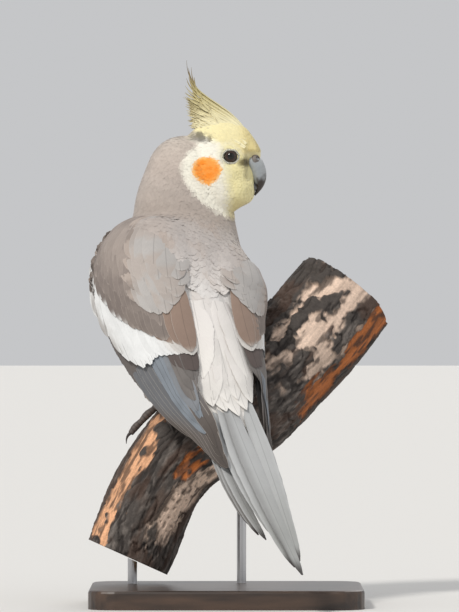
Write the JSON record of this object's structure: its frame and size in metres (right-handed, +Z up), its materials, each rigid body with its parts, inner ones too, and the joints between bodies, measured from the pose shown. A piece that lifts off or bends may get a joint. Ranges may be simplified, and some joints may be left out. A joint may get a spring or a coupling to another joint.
{
  "type": "cockatiel",
  "caption": "Still, life-size grey cockatiel with a yellow crested face, seen from behind with its head turned, gripping a cut length of charred branch on a plain display stand.",
  "frame": {"origin": "centre of the stand base's underside, on the surface that the base rests on", "axes": "+Z up; +Y away from the viewer, roughly the way the bird's body faces; +X to the viewer's right, the way its bill points"},
  "size_m": [0.1594, 0.1991, 0.2895],
  "materials": {
    "plumage_grey": "matte",
    "plumage_wing": "matte",
    "plumage_tail": "satin",
    "plumage_face": "matte",
    "plumage_crest": "matte",
    "bill_horn": "satin",
    "eye": "gloss",
    "foot_skin": "matte",
    "charred_bark": "matte",
    "stand_wood": "satin",
    "stand_metal": "satin"
  },
  "bodies": {
    "root": {"head": "plumage_face", "eye_left": "eye", "eye_right": "eye", "bill_upper": "bill_horn", "bill_lower": "bill_horn", "crest": "plumage_crest", "neck": "plumage_grey", "torso": "plumage_grey", "wing_left": "plumage_wing", "wing_right": "plumage_wing", "tail": "plumage_tail", "leg_left": "plumage_grey", "leg_right": "plumage_grey", "foot_left": "foot_skin", "foot_right": "foot_skin", "perch": "charred_bark", "stand_base": "stand_wood", "stand_rod_low": "stand_metal", "stand_rod_high": "stand_metal"}
  },
  "joints": []
}
